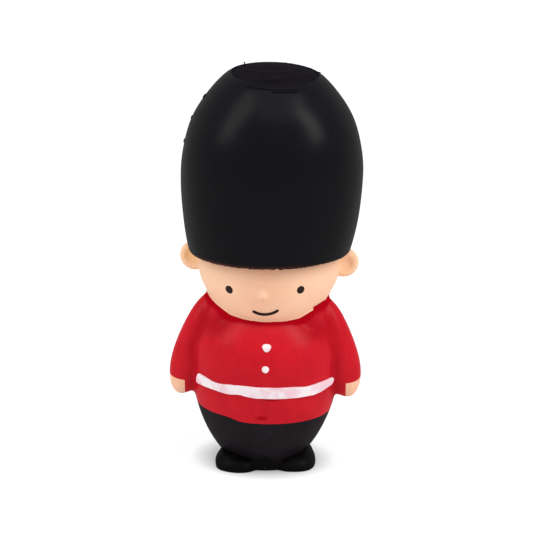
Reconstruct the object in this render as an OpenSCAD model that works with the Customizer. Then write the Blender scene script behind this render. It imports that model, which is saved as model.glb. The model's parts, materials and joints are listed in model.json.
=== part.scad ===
// Toy guardsman moulded in soft foam, standing on its own feet and facing -Y.
// A foam core lies under a denser skin, and each piece of skin ends where its colour ends.

/* [Hat] */
// Height of the tall hat from its lower rim to its flat crown
hat_h = 53.5; // [46:0.5:64]
// How far the hat's widest level stands out past the head ball
hat_over = 6; // [4.5:0.25:8]
// Height of the hat's widest level above its lower rim
hat_wide_up = 23.5; // [18:0.5:30]
// Radius of the flat round crown
crown_r = 13.5; // [10:0.5:17]
// How far the hat stands out past the head ball where its lower rim starts to round in
brim_over = 3.2; // [2.2:0.1:4]
// Height of the hat's lower rim above the head's centre
brim_rise = 5; // [3.5:0.25:7]
// Radius of the rounding under the lower rim
brim_round = 1.5; // [0.8:0.1:2]
// Width of the crown left around the closed pouring hole
gate_edge = 0.9; // [0.6:0.1:3]

/* [Head] */
// Radius of the ball that forms the head
head_r = 21; // [18.5:0.25:24]
// Height of the head's centre above the top of the rounded shoulders
head_over = 7.5; // [6.5:0.25:9]
// Radius of an ear, seen from the front
ear_r = 4.4; // [3.6:0.1:5]
// Radius of the round rim of an ear
ear_rim_r = 1.35; // [0.9:0.05:1.6]
// How far an ear's centre stands out past the head ball
ear_out = 1.4; // [0.5:0.1:2.4]
// Height of an ear's centre above the head's centre
ear_rise = 1.1; // [0:0.1:2]
// How far the dish of an ear lies below the front of its rim
ear_dish = 1.5; // [0.6:0.1:1.8]
// Thickness of an ear from the front of its rim to its back
ear_t = 4.2; // [3.4:0.1:5]
// Angle by which each ear turns outwards
ear_turn = 14; // [0:1:25]

/* [Face] */
// Distance between the middles of the two eyes
eye_spread = 21.2; // [18:0.2:24]
// How far the eyes lie below the head's centre
eye_drop = 3.1; // [1.6:0.1:4.4]
// Width of an eye
eye_w = 2.15; // [1.6:0.05:2.8]
// Height of an eye
eye_h = 2.4; // [1.8:0.05:3.2]
// How far the nose lies below the head's centre
nose_drop = 4.3; // [3:0.1:5.5]
// Width of the nose where it meets the face
nose_w = 3.8; // [3:0.1:4.6]
// How far the nose stands out of the face
nose_rise = 0.9; // [0.5:0.1:1.3]
// How far the lowest point of the mouth line lies below the head's centre
mouth_drop = 10.7; // [9.4:0.1:11.4]
// Width of the mouth from corner to corner
mouth_w = 7.4; // [5:0.2:9]
// How far the mouth line sags between its corners
mouth_sag = 1.3; // [0.6:0.1:1.8]
// Thickness of the mouth line
mouth_line = 0.62; // [0.4:0.02:0.9]
// Height by which the painted eyes and mouth stand out of the face
face_paint_t = 0.25; // [0.15:0.05:0.5]

/* [Coat] */
// Radius of the body at its widest level
body_r = 22.5; // [20:0.25:25]
// Height above the floor of the body's widest level
body_wide_z = 34; // [30:0.5:40]
// Height of the rounded shoulders above the widest level
shoulder_h = 20; // [18:0.25:23]
// How far the coat's hem lies below the body's widest level
hem_drop = 17.4; // [14:0.2:21]
// How far the belt's middle lies below the body's widest level
belt_drop = 6.6; // [5.4:0.2:9]
// Width of the belt
belt_w = 3.6; // [2.6:0.1:4.4]
// Height by which the painted belt stands out of the coat
belt_t = 0.45; // [0.2:0.05:0.7]
// Height of the upper button above the body's widest level
button_upper_rise = 7.7; // [6:0.1:9]
// Width of the upper button
button_upper_w = 2.7; // [2:0.1:3.2]
// Height of the lower button above the body's widest level
button_lower_rise = 0.8; // [-1:0.1:2.5]
// Width of the lower button
button_lower_w = 2.4; // [1.8:0.1:3]
// How far each button stands out of the coat
button_rise = 0.6; // [0.3:0.05:0.9]

/* [Arms] */
// How far inside the body's widest radius an arm's upper end lies
arm_in = 6.6; // [5.6:0.1:7.6]
// How far an arm's upper end lies below the top of the rounded shoulders
arm_drop = 1.1; // [0:0.1:2]
// How far each arm lies in front of the middle of the body
arm_forward = 2.5; // [1:0.25:4]
// Angle by which each arm hangs away from upright
arm_tilt = 17; // [14:0.5:19]
// Length of an arm from its upper end to the fingertips
arm_l = 34; // [32:0.5:36]
// Radius of an arm where it is thickest
arm_r = 6.1; // [5.5:0.1:6.8]
// Length of the bare hand below the cuff
hand_l = 4.7; // [3.6:0.1:6]

/* [Legs] */
// Height above the floor of the trousers' lower end
trouser_z = 1.5; // [1:0.1:2.5]
// Radius of the body at the trousers' lower end
trouser_r = 10.8; // [9:0.2:12]
// Length of a shoe
shoe_l = 26.6; // [23:0.2:29]
// Radius of a shoe's round section
shoe_r = 7.3; // [6.4:0.1:8]
// Distance of a shoe's middle from the middle of the figure
shoe_x = 7.2; // [6.6:0.1:8]
// How far a shoe's middle lies in front of the middle of the figure
shoe_forward = 1.9; // [0:0.1:4]
// Height above the floor of a shoe's widest level
shoe_wide_z = 2.4; // [1.6:0.1:3]
// Angle by which each shoe's toe turns outwards
shoe_splay = 10; // [0:1:16]
// Radius of the round foot plate that joins the shoes
foot_r = 12.6; // [11.8:0.2:13.5]
// Height of the foot plate, and the radius of its rounded edge
foot_h = 2.6; // [2:0.1:3.4]

/* [Foam] */
// Thickness of the dense skin over the foam core
skin_t = 1.2; // [0.8:0.1:1.6]

/* [Hidden] */
$fn = 96;

// The figure's own left lies towards +X
left = 1;
right = -1;
// Number of straight pieces along each curve of an outline
outline_steps = 14;
// Share of an arm's length, from its upper end, at which it is thickest
arm_wide_share = 0.61;
// Fineness of the round surfaces under the smallest pieces
small_piece_fn = 240;
// Angle around an ear's rim at which its dish begins
dish_start = 150;

hat_black = "#1c1c1e";
skin_paint = "#f0c9a2";
coat_red = "#c41e30";
belt_white = "#f3eef0";
trouser_black = "#2a2a2d";
shoe_black = "#121214";
line_brown = "#241a18";
core_cream = "#efe3c0";

// Levels above the floor, from the coat up to the crown
hem_z = body_wide_z - hem_drop;
belt_z = body_wide_z - belt_drop;
shoulder_z = body_wide_z + shoulder_h;
arm_z = shoulder_z - arm_drop;
head_z = shoulder_z + head_over;
brim_z = head_z + brim_rise;
hat_wide_z = brim_z + hat_wide_up;
figure_h = brim_z + hat_h;
// Distances from the middle of the figure
hat_r = head_r + hat_over;
brim_r = head_r + brim_over;
ear_x = head_r + ear_out;
arm_x = body_r - arm_in;
// Side of the blocks that cut the figure in halves or at a level
block = 2 * figure_h;
// Heights of the half ellipses above and below the hat's widest level
dome_h = (figure_h - hat_wide_z) / sqrt(1 - pow(crown_r / hat_r, 2));
skirt_h = (hat_wide_z - brim_z - brim_round) / sqrt(1 - pow(brim_r / hat_r, 2));
// Height of the half ellipse below the body's widest level
seat_h = (body_wide_z - trouser_z) / sqrt(1 - pow(trouser_r / body_r, 2));
// Lengths of an arm above and below its thickest place
arm_up = arm_l * arm_wide_share;
arm_down = arm_l - arm_up;
// Angles that carry an eye and the nose round the head
eye_sink_angle = asin(eye_drop / head_r);
eye_side_angle = asin(eye_spread / 2 / (head_r * cos(eye_sink_angle)));
nose_sink_angle = asin(nose_drop / head_r);
// Radius of the mouth line's arc, and half the angle it spans
mouth_arc_r = (pow(mouth_w / 2, 2) + pow(mouth_sag, 2)) / (2 * mouth_sag);
mouth_half_angle = asin(mouth_w / 2 / mouth_arc_r);

// Radius of the body at a height above the floor
function body_radius(z) = body_r
    * sqrt(1 - pow((z - body_wide_z) / (z > body_wide_z ? shoulder_h : seat_h), 2));

// Radius of the ball whose cap has a given width and rise
function cap_ball_r(width, rise) = (pow(width / 2, 2) + pow(rise, 2)) / (2 * rise);

// Points along an arc, both ends left out so that arcs join without doubled points
function arc_points(centre, r, from, to) =
    [for (i = [0.5:outline_steps]) let (a = from + (to - from) * i / outline_steps)
        centre + r * [cos(a), sin(a)]];

// Outline of an egg about an upright axis, from one level to another. The egg has its
// widest radius r at level zero, reaches up high above it and down low below it.
function egg_outline(r, up, down, low, high) =
    let (low_angle = asin(low / down), high_angle = asin(high / up))
    concat(
        [for (i = [0:outline_steps - 1]) let (a = low_angle * (1 - i / outline_steps))
            [r * cos(a), down * sin(a)]],
        [for (i = [0:outline_steps]) let (a = high_angle * i / outline_steps)
            [r * cos(a), up * sin(a)]]);

// A solid turned from an outline that starts and ends on the axis or is closed along it
module turned(outline) {
    low = outline[0][1];
    high = outline[len(outline) - 1][1];
    rotate_extrude()
        polygon(concat([[0, low]], [for (p = outline) if (p[0] > 0) p], [[0, high]]));
}

// Everything on one side of the middle plane and above the floor
module side_block(side) {
    translate([side == left ? 0 : -block, -block / 2, 0]) cube(block);
}

module hat_form() {
    rim_level = brim_z + brim_round - hat_wide_z;
    rim = [for (i = [0:outline_steps - 1]) let (a = 90 * (1 - i / outline_steps))
        [brim_r - brim_round * (1 - cos(a)), rim_level - brim_round * sin(a)]];
    translate([0, 0, hat_wide_z])
        turned(concat(rim,
            egg_outline(hat_r, dome_h, skirt_h, rim_level, figure_h - hat_wide_z)));
}

module head_form() {
    translate([0, 0, head_z]) sphere(head_r);
}

module body_form() {
    translate([0, 0, body_wide_z])
        turned(egg_outline(body_r, shoulder_h, seat_h, trouser_z - body_wide_z, shoulder_h));
}

module arm_form(side) {
    translate([side * arm_x, -arm_forward, arm_z])
        rotate([0, -side * arm_tilt, 0])
        translate([0, 0, -arm_up])
        turned(egg_outline(arm_r, arm_up, arm_down, -arm_down, arm_up));
}

// Everything past the cuff of an arm, towards its fingertips
module hand_block(side) {
    translate([side * arm_x, -arm_forward, arm_z])
        rotate([0, -side * arm_tilt, 0])
        translate([-block / 2, -block / 2, hand_l - arm_l - block])
        cube(block);
}

// The inside of the figure, one skin thickness below the outer forms
module core_form() {
    translate([0, 0, hat_wide_z])
        turned(egg_outline(hat_r - skin_t, dome_h - skin_t, skirt_h - skin_t,
            brim_z + skin_t - hat_wide_z, figure_h - skin_t - hat_wide_z));
    translate([0, 0, head_z]) sphere(head_r - skin_t);
    translate([0, 0, body_wide_z])
        turned(egg_outline(body_r - skin_t, shoulder_h - skin_t, seat_h - skin_t,
            trouser_z + skin_t - body_wide_z, shoulder_h - skin_t));
}

module gate_form() {
    translate([0, 0, figure_h - skin_t]) cylinder(r = crown_r - gate_edge, h = skin_t);
}

module foam_core() {
    color(core_cream) core_form();
}

module hat_skin() {
    color(hat_black) difference() {
        hat_form();
        core_form();
        gate_form();
    }
}

// The stub left where the mould was filled and the hole closed
module gate_stub() {
    color(hat_black) gate_form();
}

module face_skin() {
    color(skin_paint) difference() {
        head_form();
        hat_form();
        core_form();
    }
}

// A dished ear with a round rim and a domed back
module ear(side) {
    back = ear_t - ear_rim_r;
    domed_back = [for (i = [0:outline_steps]) let (a = 90 * (1 - i / outline_steps))
        [ear_r * cos(a), -back * sin(a)]];
    rim = [for (i = [1:outline_steps]) let (a = dish_start * i / outline_steps)
        [ear_r - ear_rim_r * (1 - cos(a)), ear_rim_r * sin(a)]];
    color(skin_paint) difference() {
        translate([side * ear_x, 0, head_z + ear_rise])
            rotate([0, 0, side * ear_turn])
            rotate([90, 0, 0])
            turned(concat(domed_back, rim, [[0, ear_rim_r - ear_dish]]));
        head_form();
        hat_form();
    }
}

module nose() {
    $fn = small_piece_fn;
    ball_r = cap_ball_r(nose_w, nose_rise);
    color(skin_paint) difference() {
        translate([0, 0, head_z])
            rotate([90 + nose_sink_angle, 0, 0])
            translate([0, 0, head_r + nose_rise - ball_r])
            sphere(ball_r);
        head_form();
    }
}

// Paint on the face: what its children cover, as a thin layer over the head
module face_paint() {
    color(line_brown) difference() {
        intersection() {
            translate([0, 0, head_z]) sphere(head_r + face_paint_t);
            children();
        }
        head_form();
    }
}

module eye(side) {
    face_paint()
        translate([0, 0, head_z])
        rotate([0, 0, side * eye_side_angle])
        rotate([90 + eye_sink_angle, 0, 0])
        linear_extrude(2 * head_r)
        scale([eye_w / eye_h, 1])
        circle(d = eye_h);
}

// A line that sags between its corners, with round ends
module mouth() {
    middle = mouth_arc_r * [sin(mouth_half_angle), -cos(mouth_half_angle)];
    outline = concat(
        arc_points([0, 0], mouth_arc_r + mouth_line / 2,
            -90 - mouth_half_angle, -90 + mouth_half_angle),
        arc_points(middle, mouth_line / 2, mouth_half_angle - 90, mouth_half_angle + 90),
        arc_points([0, 0], mouth_arc_r - mouth_line / 2,
            -90 + mouth_half_angle, -90 - mouth_half_angle),
        arc_points([-middle[0], middle[1]], mouth_line / 2,
            90 - mouth_half_angle, 270 - mouth_half_angle));
    face_paint()
        translate([0, 0, head_z - mouth_drop + mouth_line / 2 + mouth_arc_r])
        rotate([90, 0, 0])
        linear_extrude(2 * head_r)
        polygon(outline);
}

module coat_skin() {
    color(coat_red) difference() {
        body_form();
        head_form();
        core_form();
        translate([-block / 2, -block / 2, hem_z - block]) cube(block);
    }
}

module sleeve(side) {
    color(coat_red) difference() {
        arm_form(side);
        hand_block(side);
        body_form();
        head_form();
    }
}

module hand(side) {
    color(skin_paint) difference() {
        intersection() {
            arm_form(side);
            hand_block(side);
        }
        body_form();
    }
}

// Half of the belt, from one arm to the other
module belt(turn) {
    low = belt_z - belt_w / 2;
    outline = [for (i = [0:outline_steps]) let (z = low + belt_w * i / outline_steps)
        [body_radius(z) + belt_t, z]];
    color(belt_white) difference() {
        intersection() {
            turned(outline);
            rotate([0, 0, turn]) translate([-block / 2, -block, 0]) cube(block);
        }
        body_form();
        arm_form(left);
        arm_form(right);
    }
}

module button(z, width) {
    $fn = small_piece_fn;
    ball_r = cap_ball_r(width, button_rise);
    color(belt_white) difference() {
        translate([0, ball_r - button_rise - body_radius(z), z]) sphere(ball_r);
        body_form();
    }
}

module trousers_skin() {
    color(trouser_black) difference() {
        body_form();
        core_form();
        translate([-block / 2, -block / 2, hem_z]) cube(block);
    }
}

// A rounded shoe, flat underneath, with its half of the foot plate
module shoe(side) {
    edge = [for (i = [0:outline_steps]) let (a = 90 * i / outline_steps)
        [foot_r - foot_h * (1 - cos(a)), foot_h * sin(a)]];
    color(shoe_black) difference() {
        intersection() {
            union() {
                translate([side * shoe_x, -shoe_forward, shoe_wide_z])
                    rotate([0, 0, side * shoe_splay])
                    rotate([90, 0, 0])
                    turned(egg_outline(shoe_r, shoe_l / 2, shoe_l / 2, -shoe_l / 2, shoe_l / 2));
                turned(edge);
            }
            side_block(side);
        }
        body_form();
    }
}

foam_core();
hat_skin();
gate_stub();
face_skin();
ear(left);  // ear_left
ear(right);  // ear_right
nose();
eye(left);  // eye_left
eye(right);  // eye_right
mouth();
coat_skin();
sleeve(left);  // sleeve_left
sleeve(right);  // sleeve_right
hand(left);  // hand_left
hand(right);  // hand_right
belt(0);  // belt_front
belt(180);  // belt_back
button(body_wide_z + button_upper_rise, button_upper_w);  // button_upper
button(body_wide_z + button_lower_rise, button_lower_w);  // button_lower
trousers_skin();
shoe(left);  // shoe_left
shoe(right);  // shoe_right
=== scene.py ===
"""Looks of a toy guardsman cast in soft foam: tall hat, round face, belted coat and shoes."""

import json
import math
import random

import bpy
from mathutils import Matrix, Vector, noise

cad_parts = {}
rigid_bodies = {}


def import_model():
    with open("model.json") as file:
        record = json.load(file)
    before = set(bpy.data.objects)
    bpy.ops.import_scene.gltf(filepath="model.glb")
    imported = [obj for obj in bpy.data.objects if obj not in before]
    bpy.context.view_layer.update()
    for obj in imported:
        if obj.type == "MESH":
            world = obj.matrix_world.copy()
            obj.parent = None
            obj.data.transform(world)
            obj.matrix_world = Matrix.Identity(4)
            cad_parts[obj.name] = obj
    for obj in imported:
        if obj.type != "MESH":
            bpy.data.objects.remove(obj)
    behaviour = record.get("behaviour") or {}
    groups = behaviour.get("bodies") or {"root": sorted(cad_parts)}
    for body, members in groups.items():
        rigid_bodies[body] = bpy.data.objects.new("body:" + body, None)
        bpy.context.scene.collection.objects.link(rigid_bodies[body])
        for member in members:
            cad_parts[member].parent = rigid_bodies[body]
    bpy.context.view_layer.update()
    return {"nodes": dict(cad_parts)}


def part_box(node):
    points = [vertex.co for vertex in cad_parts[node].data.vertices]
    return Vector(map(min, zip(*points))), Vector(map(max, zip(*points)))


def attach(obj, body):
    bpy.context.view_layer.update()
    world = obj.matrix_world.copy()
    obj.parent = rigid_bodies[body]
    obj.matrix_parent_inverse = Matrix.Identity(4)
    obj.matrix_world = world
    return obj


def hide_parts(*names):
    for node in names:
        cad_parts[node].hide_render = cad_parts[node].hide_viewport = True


bl_info = {
    "name": "Foam Guardsman",
    "version": (1, 0, 0),
    "blender": (4, 5, 0),
    "location": "View3D > Sidebar > Guardsman",
    "description": "Builds the looks of a soft foam toy guardsman round its packed solids",
    "category": "Object",
}

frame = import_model()

MM = 0.001
WELD = 0.001 * MM
LEFT, RIGHT = 1, -1
SIDES = ((LEFT, "left"), (RIGHT, "right"))
DUST = (0.5, 0.5, 0.52, 1.0)
SHOE_DUST = (0.4, 0.38, 0.5, 1.0)
FOAM_SIZES = ("Grain size", "Patch size", "Speck size")

hat_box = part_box("hat_skin")
gate_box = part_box("gate_stub")
face_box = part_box("face_skin")
coat_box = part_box("coat_skin")
trousers_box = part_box("trousers_skin")
belt_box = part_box("belt_front")
upper_button_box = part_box("button_upper")
lower_button_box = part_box("button_lower")


def middle(box):
    return (box[0] + box[1]) / 2


def length(name, description, default):
    return bpy.props.FloatProperty(
        name=name, description=description, default=default,
        subtype="DISTANCE", unit="LENGTH", precision=5,
    )


def angle(name, description, degrees):
    return bpy.props.FloatProperty(
        name=name, description=description, default=math.radians(degrees),
        subtype="ANGLE", unit="ROTATION",
    )


def colour(name, description, default):
    return bpy.props.FloatVectorProperty(
        name=name, description=description, default=default,
        size=3, min=0, max=1, subtype="COLOR",
    )


def amount(name, description, default):
    return bpy.props.FloatProperty(name=name, description=description, default=default, min=0)


class StageSettings(bpy.types.PropertyGroup):
    azimuth: angle("Azimuth", "Turn of the camera from straight in front", 3)
    elevation: angle("Elevation", "Height of the camera above the horizon", 17)
    roll: angle("Roll", "Turn of the picture in its own plane", 1.905)
    distance: length("Distance", "From the camera to the middle of the figure", 1.3)
    aim_level: length("Aim level", "Height that the camera aims at", 60 * MM)
    lens: amount("Lens", "Focal length in millimetres", 294.5)
    shift_x: bpy.props.FloatProperty(
        name="Shift X", description="Sideways shift of the picture", default=-0.0044)
    shift_y: bpy.props.FloatProperty(
        name="Shift Y", description="Upward shift of the picture", default=0.0011)
    key_power: amount("Key power", "Power in watts of the stronger softbox", 5.4)
    fill_power: amount("Fill power", "Power in watts of the weaker softbox", 4.4)
    top_power: amount("Top power", "Power in watts of the softbox overhead", 2.4)
    sky: amount("Sky", "Strength of the even light from all round", 0.60)
    glow: amount("Glow", "Even share of the floor's white", 0.82)
    contact: length("Contact", "How far the floor's contact shadow reaches", 9 * MM)


class HatSizes(bpy.types.PropertyGroup):
    radius: length("Radius", "Largest radius of the hat", hat_box[1].x)
    brim_level: length("Brim level", "Height of the lower rim", hat_box[0].z)
    crown_level: length("Crown level", "Height of the flat crown", hat_box[1].z)
    wide_up: length("Wide up", "Widest level above the lower rim", 23.5 * MM)
    brim_radius: length("Brim radius", "Radius just above the lower rim", 24.2 * MM)
    brim_round: length("Brim round", "Rounding under the lower rim", 0.8 * MM)
    brim_sag: length("Brim sag", "How far the lower rim sags at the ears", 0.5 * MM)
    crown_radius: length("Crown radius", "Radius of the flat crown", 13.5 * MM)
    crown_shoulder: length("Crown shoulder", "Radius where the rounding of the crown starts",
                           15.6 * MM)
    crown_taper: length("Crown taper", "How far the upper hat is drawn in", 0.65 * MM)
    crown_corner: length("Crown corner", "How far in the crown's rounding is pulled",
                         0.9 * MM)
    crown_rise: length("Crown rise", "Height of the crown's middle above its seam", 1.35 * MM)
    crown_drop: length("Crown drop", "How far the seam lies below the crown's level", 0.66 * MM)
    crown_lean: angle("Crown lean", "Lean of the crown towards the left ear", 0.85)
    crown_pitch: angle("Crown pitch", "Lean of the crown towards the front", 1.2)
    brim_tilt: angle("Brim tilt", "Lean of the brim towards the right ear", 1.8)
    brim_drop: length("Brim drop", "How far the painted brim lies below the plain one",
                      0.2 * MM)
    gate_radius: length("Gate radius", "Radius of the closed pouring hole's seam",
                        gate_box[1].x + 0.4 * MM)
    gate_gap: length("Gate gap", "Gap between that seam and the crown's edge", 0.05 * MM)
    rag: length("Rag", "How far the ragged brim strays", 0.42 * MM)


class HeadSizes(bpy.types.PropertyGroup):
    radius: length("Radius", "Radius of the head ball", face_box[1].x)
    level: length("Level", "Height of the head's centre", 61.5 * MM)
    narrow: amount("Narrow", "Share by which the jaw is narrower than the head ball", 0.055)
    chin_line: length("Chin line", "How far the coat's edge lies off the head", 0.25 * MM)
    ear_radius: length("Ear radius", "Radius of an ear", 4.4 * MM)
    ear_rim: length("Ear rim", "Radius of an ear's round rim", 1.35 * MM)
    ear_dish: length("Ear dish", "Depth of an ear's hollow", 0.95 * MM)
    ear_back: length("Ear back", "Depth of an ear's domed back", 2.85 * MM)
    ear_out: length("Ear out", "An ear's centre from the middle of the head", 22.4 * MM)
    ear_rise: length("Ear rise", "An ear's centre above the head's centre", 1.1 * MM)
    ear_turn: angle("Ear turn", "Turn of each ear outwards", 14)
    nose_radius: length("Nose radius", "Radius of the nose at the face", 2.2 * MM)
    nose_stretch: amount("Nose stretch", "Height of the nose over its width", 1.35)
    nose_rise: length("Nose rise", "How far the nose stands out", 1.3 * MM)
    eye_width: length("Eye width", "Width of an eye", 2.7 * MM)
    eye_height: length("Eye height", "Height of an eye", 2.65 * MM)
    eye_lean: angle("Eye lean", "Lean of each eye towards the nose", 18)
    mouth_radius: length("Mouth radius", "Radius of the smiling line", 6.3 * MM)
    mouth_line: length("Mouth line", "Thickness of the smiling line", 0.8 * MM)
    paint_rise: length("Paint rise", "Height of the face paint", 0.25 * MM)


class CoatSizes(bpy.types.PropertyGroup):
    radius: length("Radius", "Largest radius of the body", coat_box[1].x)
    wide_level: length("Wide level", "Height of the body's widest level", 34 * MM)
    shoulder_rise: length("Shoulder rise", "Rounded shoulders above the widest level", 20 * MM)
    seat_radius: length("Seat radius", "Radius of the body's lower end", 10.8 * MM)
    shoulder_out: length("Shoulder out", "Middle of a shoulder from the body's", 11.5 * MM)
    shoulder_level: length("Shoulder level", "Height of a shoulder's middle", 45 * MM)
    shoulder_wide: length("Shoulder wide", "Half the width of a shoulder's bulge", 7.5 * MM)
    shoulder_high: length("Shoulder high", "Half the height of that bulge", 9.5 * MM)
    shoulder_depth: amount("Shoulder depth", "Depth of that bulge over its width", 1.38)
    hem_level: length("Hem level", "Height of the coat's hem", coat_box[0].z)
    hem_lift: length("Hem lift", "How far the painted hem lies above that", 0.8 * MM)
    hem_step: length("Hem step", "How much higher the hem runs on the right", 1.1 * MM)
    overlap: length("Overlap", "How far the coat's paint runs up the face", 1.15 * MM)
    overlap_out: length("Overlap out", "How far out on the left that starts", 14.1 * MM)
    belt_level: length("Belt level", "Height of the belt's middle", middle(belt_box).z)
    belt_width: length("Belt width", "Width of the belt", belt_box[1].z - belt_box[0].z)
    belt_low: length("Belt low", "Lower edge of the belt in front", 26.1 * MM)
    belt_high: length("Belt high", "Upper edge of the belt in front", 29.55 * MM)
    belt_rise: length("Belt rise", "Height of the belt's paint", 0.45 * MM)
    button_rise: length("Button rise", "Height of a button", 0.6 * MM)


class ArmSizes(bpy.types.PropertyGroup):
    top_out: length("Top out", "Upper end from the middle of the body", 15.9 * MM)
    top_forward: length("Top forward", "Upper end in front of the middle", 2.5 * MM)
    top_level: length("Top level", "Height of the upper end", 52.9 * MM)
    tilt: angle("Tilt", "Angle by which an arm hangs away from upright", 17)
    reach: length("Reach", "Length of an arm", 34 * MM)
    radius: length("Radius", "Radius of an arm where it is thickest", 6.1 * MM)
    wide_share: amount("Wide share", "Share of the length above the thickest place", 0.61)
    left_short: length("Left short", "How much shorter the left arm is", 1.2 * MM)
    right_long: length("Right long", "How much longer the right arm is", 0.4 * MM)
    right_in: length("Right in", "How much closer the right arm lies to the body", 0.4 * MM)
    cuff_level: length("Cuff level", "Height of the right cuff above the floor", 26.8 * MM)
    cuff_lift: length("Cuff lift", "How much higher the left cuff is", 1.5 * MM)
    cuff_slope: angle("Cuff slope", "How far a cuff slopes down to the front", 12)
    hand_inner: length("Hand inner", "Inner edge of the right hand's paint", 23.65 * MM)
    hand_aside: length("Hand aside", "How much further out the left hand's edge lies",
                       0.9 * MM)
    web_out: length("Web out", "Middle of the foam web beside a hand", 22.3 * MM)
    web_level: length("Web level", "Height of that web's middle", 25 * MM)
    web_radius: length("Web radius", "Radius of that web", 2.4 * MM)
    web_up: length("Web up", "Upper half of that web", 3.2 * MM)
    web_down: length("Web down", "Lower half of that web", 2.9 * MM)
    margin: length("Margin", "How far a sleeve's edge lies off the arm", 1.1 * MM)


class LegSizes(bpy.types.PropertyGroup):
    seat_level: length("Seat level", "Height of the trousers' lower end", trousers_box[0].z)
    shoe_radius: length("Shoe radius", "Half the width of a shoe", 7.45 * MM)
    shoe_length: length("Shoe length", "Length of a shoe", 26.6 * MM)
    shoe_rise: length("Shoe rise", "Height of a shoe above its widest level", 5.3 * MM)
    shoe_square: amount("Shoe square", "How square a shoe's toe is, from 2 for round", 2.5)
    shoe_out: length("Shoe out", "A shoe's middle from the middle between them", 6.85 * MM)
    shoe_aside: length("Shoes aside", "Middle between the shoes from the figure's", 1.2 * MM)
    shoe_forward: length("Shoe forward", "A shoe's middle in front of the figure's", 0.9 * MM)
    shoe_stagger: length("Stagger", "How far the right shoe stands in front and the left behind",
                         1.7 * MM)
    shoe_level: length("Shoe level", "Height of a shoe's widest level", 0.9 * MM)
    shoe_splay: angle("Shoe splay", "Turn of each toe outwards", 12)
    plate_radius: length("Plate radius", "Radius of the plate that joins the shoes", 12.3 * MM)
    plate_height: length("Plate height", "Height of the plate that joins the shoes", 5.6 * MM)
    plate_round: length("Plate round", "Rounding of the plate's upper edge", 0.8 * MM)
    notch_depth: length("Notch depth", "Depth of the groove between the legs", 1.0 * MM)
    notch_width: length("Notch width", "Half the width of that groove", 1.8 * MM)


class Colours(bpy.types.PropertyGroup):
    hat: colour("Hat", "Matt black of the hat", (0.0014, 0.0009, 0.0019))
    skin: colour("Skin", "Paint of the face and hands", (0.96, 0.60, 0.40))
    # Darker, warmer skin colour: random mottling, the evenly warmer hands, and painted shade on
    # the face
    blush_and_shade: colour("Blush", "Warmer skin paint in the hollows", (0.88, 0.38, 0.22))
    amber: colour("Amber", "Paint that lies thin in the ears", (1.0, 0.60, 0.20))
    coat: colour("Coat", "Red of the coat", (0.59, 0.008, 0.019))
    # Darker red: thick paint, brush marks and random patches, and also painted shade beside the
    # arms and under the chin
    coat_deep_and_shade: colour("Deep coat", "Red where the paint lies thick", (0.39, 0.002, 0.009))
    belt: colour("Belt", "White of the belt and buttons", (0.90, 0.82, 0.84))
    belt_thin: colour("Thin belt", "White through which the red shows", (0.82, 0.42, 0.52))
    line: colour("Line", "Dark brown of the eyes and mouth", (0.016, 0.008, 0.007))
    fringe: colour("Fringe", "Brown where black paint thins out", (0.045, 0.014, 0.010))
    trousers: colour("Trousers", "Black of the trousers", (0.0075, 0.0056, 0.0074))
    shoes: colour("Shoes", "Black of the shoes", (0.0015, 0.0011, 0.0014))
    core: colour("Core", "Cream of the foam core", (0.86, 0.76, 0.53))


def deselect_all():
    if bpy.context.mode != "OBJECT":
        bpy.ops.object.mode_set(mode="OBJECT")
    bpy.ops.object.select_all(action="DESELECT")


def activate(piece):
    deselect_all()
    piece.select_set(True)
    bpy.context.view_layer.objects.active = piece


def select_where(piece, test):
    """Enters edit mode with only the vertices selected whose place passes a test."""
    activate(piece)
    bpy.ops.object.mode_set(mode="EDIT")
    bpy.ops.mesh.select_mode(type="VERT")
    bpy.ops.mesh.select_all(action="DESELECT")
    bpy.ops.object.mode_set(mode="OBJECT")
    for vertex in piece.data.vertices:
        vertex.select = test(vertex.co)
    bpy.ops.object.mode_set(mode="EDIT")


def settle(piece, matrix):
    """Puts a piece in its place and applies that, so that its object sits at the origin."""
    piece.matrix_world = matrix
    activate(piece)
    bpy.ops.object.transform_apply(location=True, rotation=True, scale=True)
    return piece


def place(piece, location=(0, 0, 0), turns=()):
    """Turns a piece about the axes, the last one first, moves it and applies both."""
    matrix = Matrix.Translation(location)
    for axis, turn in turns:
        matrix = matrix @ Matrix.Rotation(turn, 4, axis)
    return settle(piece, matrix)


def modify(piece, kind, **settings):
    activate(piece)
    modifier = piece.modifiers.new(kind.title(), kind)
    for setting, value in settings.items():
        setattr(modifier, setting, value)
    bpy.ops.object.modifier_apply(modifier=modifier.name)
    return piece


def combine(piece, operation, *others):
    for other in others:
        modify(piece, "BOOLEAN", operation=operation, object=other, solver="MANIFOLD")
    return piece


def melt(piece, voxel, rounds):
    """Melts the joined parts of a piece into one soft form."""
    modify(piece, "REMESH", mode="VOXEL", voxel_size=voxel)
    return modify(piece, "SMOOTH", factor=0.5, iterations=rounds)


def duplicate(piece, name):
    activate(piece)
    bpy.ops.object.duplicate()
    copy = bpy.context.object
    copy.name = name
    return copy


def join(*parts):
    activate(parts[0])
    for part in parts:
        part.select_set(True)
    bpy.ops.object.join()
    return bpy.context.object


def remove(*parts):
    for part in parts:
        bpy.data.objects.remove(part)


def egg(radius, up, down, segments=128):
    """A ball about the origin whose upper and lower halves are stretched by themselves."""
    deselect_all()
    bpy.ops.mesh.primitive_uv_sphere_add(
        segments=segments, ring_count=segments // 2, radius=radius)
    piece = bpy.context.object
    for side, height in ((1, up), (-1, down)):
        select_where(piece, lambda point: point.z * side > radius * 0.001)
        bpy.ops.transform.resize(value=(1, 1, height / radius), center_override=(0, 0, 0))
        bpy.ops.object.mode_set(mode="OBJECT")
    return piece


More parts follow.
